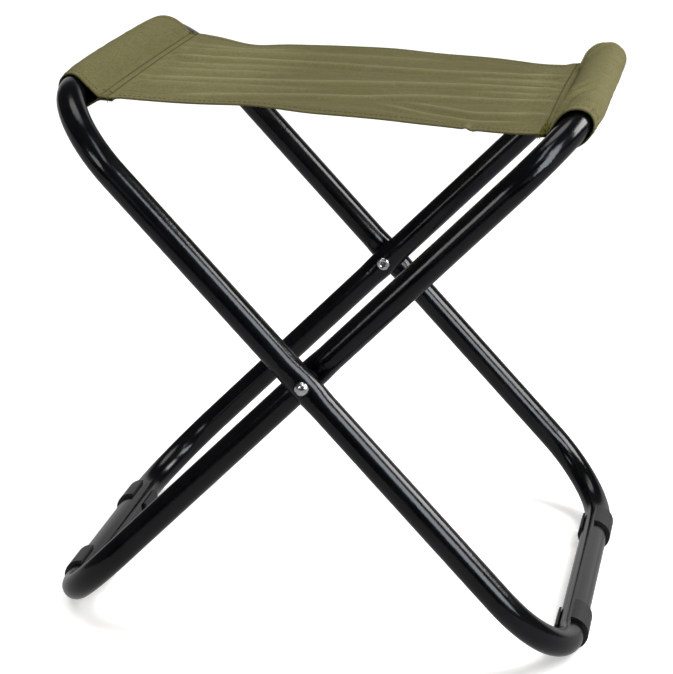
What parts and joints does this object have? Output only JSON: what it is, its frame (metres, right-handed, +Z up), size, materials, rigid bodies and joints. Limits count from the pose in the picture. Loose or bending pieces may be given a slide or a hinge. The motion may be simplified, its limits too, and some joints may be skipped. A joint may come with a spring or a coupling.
{
  "type": "camp stool",
  "caption": "Folding stool with two crossed loops of bent round tube, a cloth seat sewn round the upper bars and clip feet.",
  "frame": {"origin": "on the floor, in the middle of the four feet", "axes": "+Z up, X from side to side between the two crossbars, Y along the crossbars from front to rear"},
  "size_m": [0.3708, 0.3612, 0.3761],
  "materials": {
    "tube": "gloss",
    "joiner": "satin",
    "rivet": "bright",
    "washer": "matte",
    "clip": "matte",
    "cloth": "plain weave",
    "thread": "twisted thread"
  },
  "bodies": {
    "outer_frame": {"outer_frame_tube": "tube", "outer_frame_joiner": "joiner", "front_rivet": "rivet", "rear_rivet": "rivet", "front_spacer_washer": "washer", "rear_spacer_washer": "washer", "foot_clip_outer_front": "clip", "foot_clip_outer_rear": "clip", "left_sleeve": "cloth", "left_seam_stitching": "thread", "seat_panel": "cloth", "front_hem_stitching": "thread", "rear_hem_stitching": "thread"},
    "inner_frame": {"inner_frame_tube": "tube", "inner_frame_joiner": "joiner", "foot_clip_inner_front": "clip", "foot_clip_inner_rear": "clip", "right_sleeve": "cloth", "right_seam_stitching": "thread"}
  },
  "joints": [
    {"name": "fold", "type": "hinge", "parent": "outer_frame", "child": "inner_frame", "pos_m": [0, 0, 0.19184], "axis": [0, -1, 0], "range_deg": [0, 81], "deforming": ["seat_panel", "front_hem_stitching", "rear_hem_stitching", "left_sleeve", "right_sleeve", "left_seam_stitching", "right_seam_stitching"]}
  ]
}
